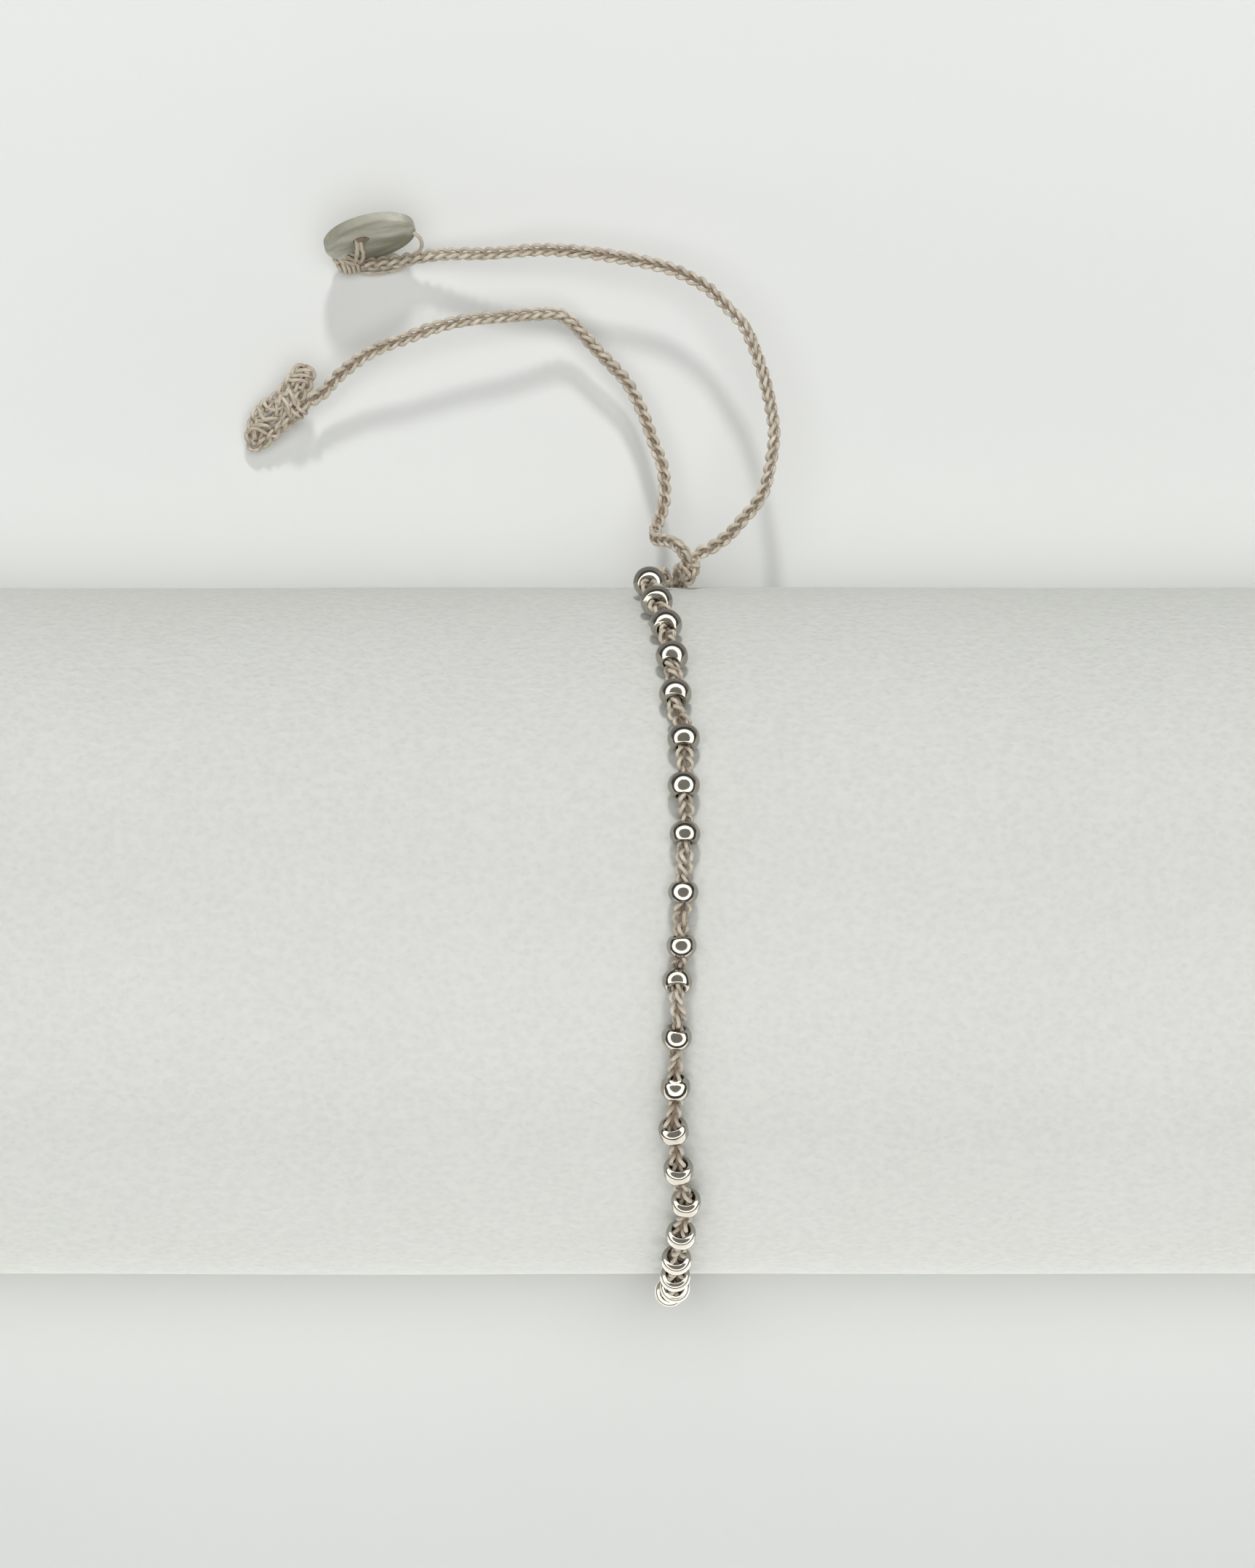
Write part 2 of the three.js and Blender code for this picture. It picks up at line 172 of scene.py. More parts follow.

# The yarn that ties the button on, with lengths and places in millimetres: each winding's place from the
# knot's middle, its direction, length, radius, laps, lean and depth in the knot, which sets its painted
# shade.
# Then the knot's core, dark with painted shade, from its middle too, and a loose strand.
SHANK_WINDINGS = [
    ((0, 0, 0), (1, 0.2, 0), 1.9, 0.62, 5, 0.15, 0.15),
    ((0.3, 0.7, 0.4), (0.6, 1, 0.4), 1.6, 0.66, 4, 0.2, 0.3),
    ((-0.6, 0.6, 0.2), (1, 0.5, 0.2), 1.2, 0.5, 3, 0.2, 0.1),
]
SHANK_CORE = [(-0.8, 0.1, 0), (0.2, 0.6, 0.2), (1.0, 0.2, 0)]
LOOSE_STRAND = [
    (-28.3, 57.2, 0.6), (-27.2, 57.0, 0.45), (-26.0, 56.95, 0.5), (-24.9, 57.1, 0.42), (-23.9, 57.35, 0.6),
    (-23.0, 57.95, 1.2), (-22.3, 58.7, 2.3), (-22.0, 59.3, 3.3), (-22.2, 60.0, 4.0), (-22.7, 60.4, 4.2),
]

# The button loop: the middle of its outer chain, and of the tail's chain that runs on down its right side,
# in millimetres along the loop and across it
LOOP_HEADING = math.radians(53.9)
LOOP_RISE = math.radians(18.5)
LOOP_OUTLINE = [
    (4.45, 0.1), (3.7, 0.5), (2.4, 0.5), (0.7, 0.6), (-0.6, 1.0), (-1.6, 1.2), (-2.7, 0.95), (-3.7, 0.5),
    (-4.35, -0.1), (-3.8, -0.6), (-2.6, -0.95), (-1.2, -1.1), (0.3, -1.0), (1.8, -0.9), (3.1, -0.85),
    (4.1, -0.45), (4.45, 0.1),
]
LOOP_SIDE_CHAIN = [(2.2, -1.95), (1.2, -1.75), (-0.2, -1.45), (-1.6, -1.15), (-2.6, -0.7)]
# Loose stitches round it: where each begins and ends along it, its place across, and its laps
LOOP_STITCHES = [(-3.8, -1.6, 0.2, 3), (-1.6, 0.4, 0.55, 2), (0.2, 2.2, -0.5, 2), (2.2, 4.0, 0.0, 3)]

# Colours
TARNISH = (0.14, 0.11, 0.075, 1)
# Painted shade for yarn deep inside the cord
YARN_PAINTED_SHADE = (0.22, 0.155, 0.10, 1)
# Painted shade on the button's face
SHELL_PAINTED_SHADE = (0.20, 0.185, 0.125, 1)
WHITE = (1, 1, 1, 1)
LAMP_WHITE = (1, 0.985, 0.95, 1)
# The colour of the floor's painted reflection
GLOW_WHITE = (1, 0.99, 0.965, 1)
BACKGROUND = (0.80, 0.81, 0.80, 1)

# The studio's light by height, from straight down at 0 to straight up at 1. The soft light has a part from
# all round, one from the front and one from the back. What shines reflects a bright ring lamp instead,
# with the dim ceiling that the camera looks through in its middle.
ALL_ROUND = [
    (0.0, 0.55), (0.50, 0.55), (0.51, 0.0), (0.77, 0.0), (0.81, 0.12), (0.91, 0.12), (0.95, 1.97),
    (1.0, 1.97),
]
FROM_FRONT = [
    (0.0, 0.0), (0.50, 0.0), (0.51, 1.95), (0.61, 2.15), (0.65, 1.7), (0.77, 1.7), (0.80, 0.3),
    (0.91, 0.3), (0.95, 0.0), (1.0, 0.0),
]
FROM_BACK = [(0.0, 0.0), (0.76, 0.0), (0.80, 0.1), (0.91, 0.1), (0.95, 1.3), (1.0, 1.3)]
RING_LAMP = [
    (0.0, 0.08), (0.50, 0.10), (0.65, 0.14), (0.675, 3.6), (0.84, 3.4), (0.865, 0.42), (1.0, 0.40),
]
# A far lamp behind the bolster: its angle from straight up, its strength and its apparent width
BACK_LIGHT_TIP = math.radians(56)
BACK_LIGHT_STRENGTH = 1.25
BACK_LIGHT_WIDTH = math.radians(6.5)
# The floor's painted reflection, a glow that only what shines sees, bright in front of the bolster and dim
# behind it: how far from the middle each part begins, and how bright it is
GLOW_EDGE = 25 * MM
FRONT_GLOW, BACK_GLOW = 2.1, 0.42

# The camera looks straight down through a long lens. The photo's frame holds this much of the scene.
FRAME_HEIGHT = 134.75 * MM
FRAME_MIDDLE = (-4.2 * MM, 12.7 * MM)
CAMERA_HEIGHT = 2.5
SHARP_HEIGHT = 20 * MM
SENSOR = 36


# Handling of pieces

def clear_selection():
    if bpy.context.object and bpy.context.object.mode != "OBJECT":
        bpy.ops.object.mode_set(mode="OBJECT")
    bpy.ops.object.select_all(action="DESELECT")


def take(piece):
    """Selects the piece and nothing else."""
    clear_selection()
    piece.select_set(True)
    bpy.context.view_layer.objects.active = piece


def pick_faces(piece, test):
    """Goes into edit mode with the faces selected that pass the test, and nothing else."""
    take(piece)
    bpy.ops.object.mode_set(mode="EDIT")
    bpy.ops.mesh.select_mode(type="FACE")
    bpy.ops.mesh.select_all(action="DESELECT")
    bpy.ops.object.mode_set(mode="OBJECT")
    for face in piece.data.polygons:
        face.select = bool(test(face))
    bpy.ops.object.mode_set(mode="EDIT")


def settle(piece):
    """Puts the piece's place into its mesh."""
    take(piece)
    bpy.ops.object.transform_apply(location=True, rotation=True, scale=True)


def apply_modifiers(piece):
    take(piece)
    for modifier in list(piece.modifiers):
        bpy.ops.object.modifier_apply(modifier=modifier.name)


def drill(piece, sides, radius, depth, location=(0, 0, 0)):
    """Cuts a round hole along Z."""
    clear_selection()
    bpy.ops.mesh.primitive_cylinder_add(vertices=sides, radius=radius, depth=depth, location=location)
    cutter = bpy.context.object
    settle(cutter)
    hole = piece.modifiers.new("hole", "BOOLEAN")
    hole.operation = "DIFFERENCE"
    hole.object = cutter
    apply_modifiers(piece)
    bpy.data.objects.remove(cutter)


def round_edges(piece, width, segments, sharper_than):
    """Bevels the edges that are sharper than so many degrees."""
    edges = piece.modifiers.new("edges", "BEVEL")
    edges.width = width
    edges.segments = segments
    edges.limit_method = "ANGLE"
    edges.angle_limit = math.radians(sharper_than)
    apply_modifiers(piece)


def new_mesh(name, points, faces):
    mesh = bpy.data.meshes.new(name)
    mesh.from_pydata([tuple(p) for p in points], [], faces)
    mesh.update()
    return mesh


def into_scene(name, data):
    """Puts a mesh, a lamp or a camera into the scene."""
    piece = bpy.data.objects.new(name, data)
    bpy.context.scene.collection.objects.link(piece)
    return piece


def finish_piece(piece, name, material, node):
    piece.name = name
    piece.data.name = name
    piece.data.materials.clear()
    piece.data.materials.append(material)
    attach(piece, "root")
    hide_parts(node)
    return piece


def middle_of(node):
    low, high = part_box(node)
    return (low + high) / 2


def in_metres(points):
    return np.array(points, float) * MM


def smooth_step(value, low, high):
    share = min(1.0, max(0.0, (value - low) / (high - low)))
    return share * share * (3 - 2 * share)


def band(first, second, around):
    """The faces between two rings of so many points."""
    for k in range(around):
        after = (k + 1) % around
        yield first + k, first + after, second + after, second + k


def fan(ring, pole, around):
    """The faces between a ring of so many points and its pole."""
    for k in range(around):
        yield ring + k, ring + (k + 1) % around, pole


# Materials

def feed(tree, node, inputs):
    """Gives the node's inputs their values, or the outputs that they read."""
    for socket, value in inputs.items():
        if isinstance(value, bpy.types.NodeSocket):
            tree.links.new(value, node.inputs[socket])
        else:
            node.inputs[socket].default_value = value


def add_node(tree, kind, inputs=None, **settings):
    node = tree.nodes.new("ShaderNode" + kind)
    for label, value in settings.items():
        setattr(node, label, value)
    feed(tree, node, inputs or {})
    return node


def worked(tree, operation, *values, clamp=False):
    """What a Math node makes of the values."""
    values = dict(enumerate(values))
    return add_node(tree, "Math", values, operation=operation, use_clamp=clamp).outputs[0]


def mapped(tree, value, start, end, low, high):
    """The value, brought from between start and end to between low and high."""
    labels = ("Value", "From Min", "From Max", "To Min", "To Max")
    return add_node(tree, "MapRange", dict(zip(labels, (value, start, end, low, high)))).outputs["Result"]


def mixed(tree, share, low, high):
    """A share of the high colour over the low one."""
    first, second, result = 6, 7, 2
    mix = add_node(tree, "Mix", {"Factor": share, first: low, second: high}, data_type="RGBA")
    return mix.outputs[result]


def node_group(name, inputs, outputs):
    group = bpy.data.node_groups.new(name, "ShaderNodeTree")
    for label, kind, value in inputs:
        socket = group.interface.new_socket(name=label, in_out="INPUT", socket_type="NodeSocket" + kind)
        if value is not None:
            socket.default_value = value
    for label, kind in outputs:
        group.interface.new_socket(name=label, in_out="OUTPUT", socket_type="NodeSocket" + kind)
    return group, group.nodes.new("NodeGroupInput").outputs, group.nodes.new("NodeGroupOutput")


def mottle_group():
    """Soft blotches of one colour over another."""
    group, given, result = node_group(
        "mottle",
        [("Coordinates", "Vector", None), ("Scale", "Float", 100.0), ("Sharpness", "Float", 1.0),
         ("Low", "Color", (0, 0, 0, 1)), ("High", "Color", WHITE)],
        [("Colour", "Color"), ("Mask", "Float")],
    )
    blotches = add_node(group, "TexNoise", {
        "Vector": given["Coordinates"], "Scale": given["Scale"], "Detail": 4,
    })
    centred = worked(group, "SUBTRACT", blotches.outputs["Fac"], 0.5)
    mask = worked(group, "MULTIPLY_ADD", centred, given["Sharpness"], 0.5, clamp=True)
    feed(group, result, {"Colour": mixed(group, mask, given["Low"], given["High"]), "Mask": mask})
    return group


def grain_group():
    """Small pebbles with finer creases between them."""
    group, given, result = node_group(
        "grain",
        [("Coordinates", "Vector", None), ("Scale", "Float", 1000.0), ("Depth", "Float", 0.0001),
         ("Creases", "Float", 0.5)],
        [("Normal", "Vector"), ("Height", "Float")],
    )
    pebbles = add_node(group, "TexVoronoi", {
        "Vector": given["Coordinates"], "Scale": given["Scale"], "Smoothness": 0.7,
    }, feature="SMOOTH_F1")
    creases = add_node(group, "TexNoise", {
        "Vector": given["Coordinates"], "Scale": given["Scale"], "Detail": 5, "Distortion": 0.8,
    })
    height = add_node(group, "Mix", {
        "Factor": given["Creases"], 2: pebbles.outputs["Distance"], 3: creases.outputs["Fac"],
    }).outputs[0]
    bump = add_node(group, "Bump", {"Distance": given["Depth"], "Height": height})
    feed(group, result, {"Normal": bump.outputs["Normal"], "Height": height})
    return group


MOTTLE = mottle_group()
GRAIN = grain_group()


def new_material(name, **sockets):
    material = bpy.data.materials.new(name)
    material.use_nodes = True
    tree = material.node_tree
    shader = tree.nodes["Principled BSDF"]
    feed(tree, shader, {label.replace("_", " "): value for label, value in sockets.items()})
    return material, tree, shader


def place_group(tree, group, coordinates, **values):
    return add_node(tree, "Group", {"Coordinates": coordinates, **values}, node_tree=group).outputs


def object_place(tree, scale=(1, 1, 1)):
    """Object coordinates, stretched."""
    place = add_node(tree, "TexCoord").outputs["Object"]
    return add_node(tree, "Mapping", {"Vector": place, "Scale": scale}).outputs["Vector"]


def painted(tree, name):
    """A value that the piece's mesh carries."""
    return add_node(tree, "Attribute", attribute_name=name).outputs["Fac"]


def leatherette_material():
    """Pebbled off-white skin, a little duller and darker between its pebbles."""
    material, tree, shader = new_material("off_white_leatherette", Roughness=0.6, Specular_IOR_Level=0.35)
    place = object_place(tree, scale=(0.8, 1, 1))
    tone = place_group(
        tree, MOTTLE, place, Scale=55.0, Sharpness=1.6,
        Low=(0.672, 0.68, 0.642, 1), High=(0.70, 0.707, 0.673, 1),
    )
    grain = place_group(tree, GRAIN, place, Scale=1700.0, Depth=0.16 * MM, Creases=0.6)
    # The colour is darker in the low parts of the grain
    grain_darkening = mapped(tree, grain["Height"], 0.3, 0.62, 0.95, 1.02)
    colour = add_node(tree, "VectorMath", {0: tone["Colour"], "Scale": grain_darkening}, operation="SCALE")
    feed(tree, shader, {
        "Base Color": colour.outputs["Vector"],
        "Roughness": mapped(tree, grain["Height"], 0, 1, 0.7, 0.5),
        "Normal": grain["Normal"],
    })
    return material


def silver_material():
    """Silver with cloudy wear, tarnished where its mesh says."""
    material, tree, shader = new_material("polished_silver", Metallic=1.0, Roughness=0.1)
    polish = place_group(
        tree, MOTTLE, object_place(tree), Scale=900.0, Sharpness=2.0,
        Low=(0.34, 0.32, 0.27, 1), High=(0.43, 0.41, 0.37, 1),
    )
    feed(tree, shader, {
        "Base Color": mixed(tree, painted(tree, "tarnish"), polish["Colour"], TARNISH),
        "Roughness": mapped(tree, polish["Mask"], 0, 1, 0.07, 0.16),
    })
    return material


def silk_material():
    """Plied yarn: the plies slant round it, and painted shade darkens it deep inside the cord."""
    material, tree, shader = new_material(
        "taupe_silk", Roughness=0.55, Sheen_Weight=0.25, Sheen_Roughness=0.4,
    )
    tone = place_group(
        tree, MOTTLE, object_place(tree), Scale=420.0, Sharpness=2.2,
        Low=(0.56, 0.48, 0.37, 1), High=(0.75, 0.675, 0.55, 1),
    )
    yarn = add_node(tree, "UVMap", uv_map="yarn").outputs["UV"]
    parts = add_node(tree, "SeparateXYZ", {"Vector": yarn}).outputs
    slant = worked(tree, "MULTIPLY_ADD", parts["X"], YARN_PLIES, parts["Y"])
    ply = worked(tree, "SINE", worked(tree, "MULTIPLY", slant, FULL_TURN))
    # Painted shade: the deeper the yarn lies in the cord, the darker it is
    feed(tree, shader, {
        "Base Color": mixed(tree, painted(tree, "depth"), tone["Colour"], YARN_PAINTED_SHADE),
        "Normal": add_node(tree, "Bump", {"Distance": PLY_DEPTH, "Height": ply}).outputs["Normal"],
    })
    return material


def button_axes():
    """The button's level width, the way that it faces, and the way down its face."""
    level = Vector((math.cos(BUTTON_TURN), math.sin(BUTTON_TURN), 0))
    face = Vector((
        math.sin(BUTTON_TURN) * math.sin(BUTTON_LEAN),
        -math.cos(BUTTON_TURN) * math.sin(BUTTON_LEAN),
        math.cos(BUTTON_LEAN),
    ))
    return level, face, level.cross(face)


def shell_material():
    """Streaked shell, darker towards the button's upper left, and darkest with painted shade at its lower
    right.
    """
    material, tree, shader = new_material("grey_green_shell", Roughness=0.6, Specular_IOR_Level=0.35)
    place = object_place(tree, scale=(0.35, 1, 1.3))
    streaks = place_group(
        tree, MOTTLE, place, Scale=560.0, Sharpness=3.2,
        Low=(0.34, 0.33, 0.25, 1), High=(0.64, 0.635, 0.545, 1),
    )
    grain = place_group(tree, GRAIN, place, Scale=2200.0, Depth=0.04 * MM, Creases=0.8)
    level, _, down = button_axes()
    place = add_node(tree, "TexCoord").outputs["Object"]
    from_middle = add_node(tree, "VectorMath", {0: place, 1: middle_of("button")}, operation="SUBTRACT")
    lower = add_node(tree, "VectorMath", {
        0: from_middle.outputs["Vector"], 1: (level * 0.45 + down * 0.9).normalized(),
    }, operation="DOT_PRODUCT")
    share = mapped(tree, lower.outputs["Value"], -BUTTON_RADIUS, BUTTON_RADIUS, 0, 1)
    shade = add_node(tree, "ValToRGB", {"Fac": share})
    stops = shade.color_ramp.elements
    while len(stops) < len(BUTTON_PAINTED_SHADE):
        stops.new(1.0)
    for stop, (position, value) in zip(stops, BUTTON_PAINTED_SHADE):
        stop.position = position
        stop.color = (value, value, value, 1)
    # The ramp darkens the face towards its upper left, and with painted shade most of all at its lower right
    feed(tree, shader, {
        "Base Color": mixed(tree, shade.outputs["Color"], streaks["Colour"], SHELL_PAINTED_SHADE),
        "Normal": grain["Normal"],
    })
    return material


LEATHERETTE = leatherette_material()
SILVER = silver_material()
SILK = silk_material()
SHELL = shell_material()


# Lines and yarn

def smooth_line(points, spacing):
    """A smooth line through the points, with a point every so often along it."""
    points = np.array(points, float)
    ends = [2 * points[0] - points[1], *points, 2 * points[-1] - points[-2]]
    line = []
    for a, b, c, d in zip(ends, ends[1:], ends[2:], ends[3:]):
        gaps = [max(math.sqrt(np.linalg.norm(q - p)), 1e-9) for p, q in ((a, b), (b, c), (c, d))]
        t0, t1 = 0.0, gaps[0]
        t2 = t1 + gaps[1]
        t3 = t2 + gaps[2]
        for t in np.linspace(t1, t2, 24, endpoint=False):
            ab = ((t1 - t) * a + (t - t0) * b) / (t1 - t0)
            bc = ((t2 - t) * b + (t - t1) * c) / (t2 - t1)
            cd = ((t3 - t) * c + (t - t2) * d) / (t3 - t2)
            abc = ((t2 - t) * ab + (t - t0) * bc) / (t2 - t0)
            bcd = ((t3 - t) * bc + (t - t1) * cd) / (t3 - t1)
            line.append(((t2 - t) * abc + (t - t1) * bcd) / (t2 - t1))
    line = np.array([*line, points[-1]])
    reach = distances(line)
    count = max(2, round(reach[-1] / spacing) + 1)
    return along_line(np.linspace(0, reach[-1], count), reach, line)


def distances(line):
    """How far along the line each of its points is."""
    steps = np.linalg.norm(np.diff(line, axis=0), axis=1)
    return np.concatenate([[0], np.cumsum(steps)])


def along_line(wanted, reach, values):
    """The points or directions at the wanted distances, between those at the line's own."""
    return np.stack([np.interp(wanted, reach, values[:, i]) for i in range(3)], axis=1)


def directions(line):
    ahead = np.gradient(line, axis=0)
    return ahead / np.linalg.norm(ahead, axis=1, keepdims=True)


def carried_sides(line, first_side):
    """Sideways directions carried along the line without turning round it."""
    ahead = directions(line)
    side = np.array(first_side, float)
    sides = []
    for step in ahead:
        side = side - step * side.dot(step)
        side = side / np.linalg.norm(side)
        sides.append(side)
    return ahead, np.array(sides)


def turned(ahead, sides, angles):
    """The sides turned round the line, each by its own angle, and the ups that go with them."""
    ups = np.cross(ahead, sides)
    cosines, sines = np.cos(angles)[:, None], np.sin(angles)[:, None]
    return sides * cosines + ups * sines, ups * cosines - sides * sines


def rounded(corners, steps):
    """A Catmull-Rom line through the corners, with so many points for each."""
    before = np.concatenate([[2 * corners[0] - corners[1]], corners[:-1]])
    after = np.concatenate([corners[1:], [2 * corners[-1] - corners[-2]]])
    later = np.concatenate([after[1:], [2 * after[-1] - corners[-1]]])
    line = []
    for t in np.arange(steps) / steps:
        line.append(0.5 * (
            2 * corners + (after - before) * t
            + (2 * before - 5 * corners + 4 * after - later) * t ** 2
            + (3 * corners - before - 3 * after + later) * t ** 3
        ))
    line = np.stack(line, axis=1)[:-1].reshape(-1, 3)
    return np.concatenate([line, corners[-1:]])


def chain_yarn(route, sides, ups, width, stitch=STITCH_LENGTH):
    """The yarn's centre line as it makes a crochet chain along the route. width widens or narrows the
    chain: a number, or a function of the distance along it. Each point comes with its depth inside the
    cord, from 0 outside to 1, which sets how dark its painted shade is."""
    reach = distances(route)
    count = max(1, round(reach[-1] / stitch - 0.5))
    stitch = reach[-1] / (count + 0.5)
    control = np.array([
        ((number + along) * stitch, side * MM, up * MM)
        for number in range(count) for along, side, up in CHAIN_STITCH
    ])
    at = np.clip(control[:, 0], 0, reach[-1])
    wide = np.array([width(s) for s in at]) if callable(width) else width
    side_part = along_line(at, reach, sides) * (control[:, 1] * wide)[:, None]
    up_part = along_line(at, reach, ups) * (control[:, 2] * wide)[:, None]
    yarn = rounded(along_line(at, reach, route) + side_part + up_part, STITCH_STEPS)
    off_centre = np.hypot(control[:, 1], control[:, 2])
    inside = 1 - np.clip((off_centre - DEEPEST_WITHIN) / DEPTH_REACH, 0, 1)
    depth = np.interp(np.linspace(0, 1, len(yarn)), np.linspace(0, 1, len(inside)), inside)
    return yarn, depth


class Yarn:
    """Collects round strands and makes one piece of silk of them."""

    def __init__(self):
        self.points, self.faces, self.uvs, self.depths = [], [], [], []

    def add(self, line, depth, radius=YARN_RADIUS):
        """Adds a strand. Its depth inside the cord, which sets its painted shade, is one number, or one for
        each point.
        """
        line = np.array(line, float)
        reach = distances(line)
        keep = np.concatenate([[True], np.diff(reach) > 1e-7])
        line, reach = line[keep], reach[keep]
        depth = np.broadcast_to(np.array(depth, float), keep.shape)[keep]
        first = Vector((0.3, 0.2, 0.93)) if abs(directions(line)[0][2]) < 0.9 else Vector((1, 0.1, 0))
        ahead, sides = carried_sides(line, first)
        ups = np.cross(ahead, sides)
        start = len(self.points)
        for i, middle in enumerate(line):
            for k in range(YARN_SIDES):
                turn = FULL_TURN * k / YARN_SIDES
                out = sides[i] * math.cos(turn) + ups[i] * math.sin(turn)
                self.points.append(middle + out * radius)
                self.depths.append(depth[i])
        laps = reach / (FULL_TURN * radius)
        for i, (lap, next_lap) in enumerate(zip(laps, laps[1:])):
            ring = start + i * YARN_SIDES
            self.faces.extend(band(ring, ring + YARN_SIDES, YARN_SIDES))
            for k in range(YARN_SIDES):
                here, after = k / YARN_SIDES, (k + 1) / YARN_SIDES
                self.uvs.extend([(here, lap), (after, lap), (after, next_lap), (here, next_lap)])
        last = start + (len(line) - 1) * YARN_SIDES
        tip = ahead * radius * 0.6
        self.cap(start, line[0] - tip[0], depth[0], laps[0], flip=True)
        self.cap(last, line[-1] + tip[-1], depth[-1], laps[-1], flip=False)

    def cap(self, ring, tip, depth, lap, flip):
        faces = fan(ring, len(self.points), YARN_SIDES)
        self.faces.extend(face[::-1] if flip else face for face in faces)
        self.uvs.extend((k / YARN_SIDES, lap) for k in range(YARN_SIDES) for _ in range(3))
        self.points.append(tip)
        self.depths.append(depth)

    def add_chain(self, route, first_side, rolls, width, stitch=STITCH_LENGTH, core_depth=None):
        """Adds crochet chain along the route, rolled round it from the first angle to the second, and a core
        strand through it where that has a depth, which sets how dark its painted shade is."""
        ahead, sides = carried_sides(route, first_side)
        sides, ups = turned(ahead, sides, np.linspace(*rolls, len(route)))
        self.add(*chain_yarn(route, sides, ups, width, stitch))
        if core_depth is not None:
            self.add(route, core_depth, CORE_RADIUS)

    def make(self, name, node):
        mesh = new_mesh(name, self.points, self.faces)
        layer = mesh.uv_layers.new(name="yarn")
        layer.data.foreach_set("uv", np.array(self.uvs, float).ravel())
        # The depth sets the silk's painted shade
        depth = mesh.attributes.new("depth", "FLOAT", "POINT")
        depth.data.foreach_set("value", np.array(self.depths, float))
        mesh.shade_smooth()
        return finish_piece(into_scene(name, mesh), name, SILK, node)


def winding(middle, along, length, radius, laps, lean):
    """Yarn wound round a line, in laps that bulge in the middle. Length, radius and lean are
    millimetres."""
    turns = np.linspace(0, laps * FULL_TURN, laps * 22)
    share = turns / turns[-1]
    swell = np.sqrt(np.clip(1 - (2 * share - 1) ** 2, 0.15, 1)) * (radius * MM)
    along = np.array(along, float) / np.linalg.norm(along)
    side = np.cross(along, (0.1, 0.2, 1))
    side /= np.linalg.norm(side)
    up = np.cross(side, along)
    reach = (share - 0.5) * (length * MM) + lean * MM * np.cos(turns)
    round_line = np.outer(np.cos(turns) * swell, side) + np.outer(np.sin(turns) * swell, up)
    return np.outer(reach, along) + round_line + np.array(middle)


# The free tails come first, since they settle how far the model spreads

def on_loop(along, across, up=0.0):
    """A place on the button loop: so many millimetres along it, across it and above its middle."""
    turn = Matrix.Rotation(LOOP_HEADING, 3, "Z") @ Matrix.Rotation(-LOOP_RISE, 3, "Y")
    return np.array(middle_of("button_loop") + turn @ Vector((along, across, up)) * MM)


def tail(name, node, points, from_knot, to_end, replaced, rolls):
    """A free tail of crochet chain. Its yarn also runs into the knot and into what it carries, in place of
    the last few points of its route. The rolls are its first and last turn round itself, in degrees."""
    kept = in_metres(points[:len(points) - replaced])
    whole = smooth_line([*in_metres(from_knot), *kept, *to_end], TAIL_SPACING)
    strand = Yarn()
    strand.add_chain(whole, (1, 0, 0), np.radians(rolls), width=1.1, core_depth=0.75)
    return strand.make(name, node), smooth_line(in_metres(points), TAIL_SPACING)


button_tail, button_route = tail(
    "button_side_chain", "tail_button_side", BUTTON_TAIL, [(1.1, 31.4, 9.7)],
    in_metres(BY_BUTTON), REPLACED_BY_BUTTON, (60, 220),
)
loop_tail, loop_route = tail(
    "loop_side_chain", "tail_loop_side", LOOP_TAIL, [(1.0, 31.7, 9.9), (0.8, 32.5, 10.2)],
    [on_loop(2.5, -2.0, 0.1), on_loop(1.9, -1.85, 0.1)], 0, (20, -130),
)


# The bolster is a padded roll on a flat base, with a seam round each end

def outer_section():
    """Points round the bolster's section, from the back of the base over the top to the front of it,
    then back along the base. Each has its place across and up, and its place in the groove."""
    inner = BOLSTER_RADIUS - BOLSTER_CORNER
    groove_inner = BOLSTER_RADIUS - GROOVE_CORNER
    groove_top = BOLSTER_AXIS_HEIGHT - GROOVE_CORNER
    section = []

    def corner(first_turn, side):
        for i in range(CORNER_STEPS):
            turn = first_turn + RIGHT_ANGLE * i / CORNER_STEPS
            across, up = math.cos(turn), math.sin(turn)
            section.append((
                (side * inner + across * BOLSTER_CORNER, BOLSTER_CORNER + up * BOLSTER_CORNER),
                (side * groove_inner + across * GROOVE_CORNER, BOLSTER_AXIS_HEIGHT + up * GROOVE_CORNER),
            ))

    for i in range(TOP_STEPS):
        turn = math.pi * i / TOP_STEPS
        out = (math.cos(turn) * BOLSTER_RADIUS, BOLSTER_AXIS_HEIGHT + math.sin(turn) * BOLSTER_RADIUS)
        section.append((out, out))
    corner(math.pi, -1)
    for i in range(BASE_STEPS):
        share = -1 + 2 * i / BASE_STEPS
        section.append(((inner * share, 0.0), (groove_inner * share, groove_top)))
    corner(3 * RIGHT_ANGLE, 1)
    return section


def bolster_stations():
    """Where the rings of the bolster's skin lie along it, and how far each is drawn in. They lie close
    together at the groove's edges and at the seams."""
    along = [x * MM for x in (0, 0.8, 1.4, 1.5, 1.58, 1.66, 1.74, 1.84, 2.0, 2.4, 3.5)]
    along += [x * MM for x in np.arange(6, 70, 2.5)]
    along += [SEAM_PLACE + step * MM for step in (-1.6, -1.0, -0.6, -0.35, -0.15, 0, 0.08)]
    stations = [(x, 0.0) for x in along]
    start = BOLSTER_LENGTH / 2 - BOLSTER_CROWN - BOLSTER_END_ROUNDING
    for i in range(1, END_STEPS + 1):
        turn = RIGHT_ANGLE * i / END_STEPS
        x = start + math.sin(turn) * BOLSTER_END_ROUNDING
        if x > SEAM_PLACE + 0.1 * MM:
            stations.append((x, (1 - math.cos(turn)) * BOLSTER_END_ROUNDING))
    stations.sort()
    return [(-x, inset) for x, inset in stations[:0:-1]] + stations


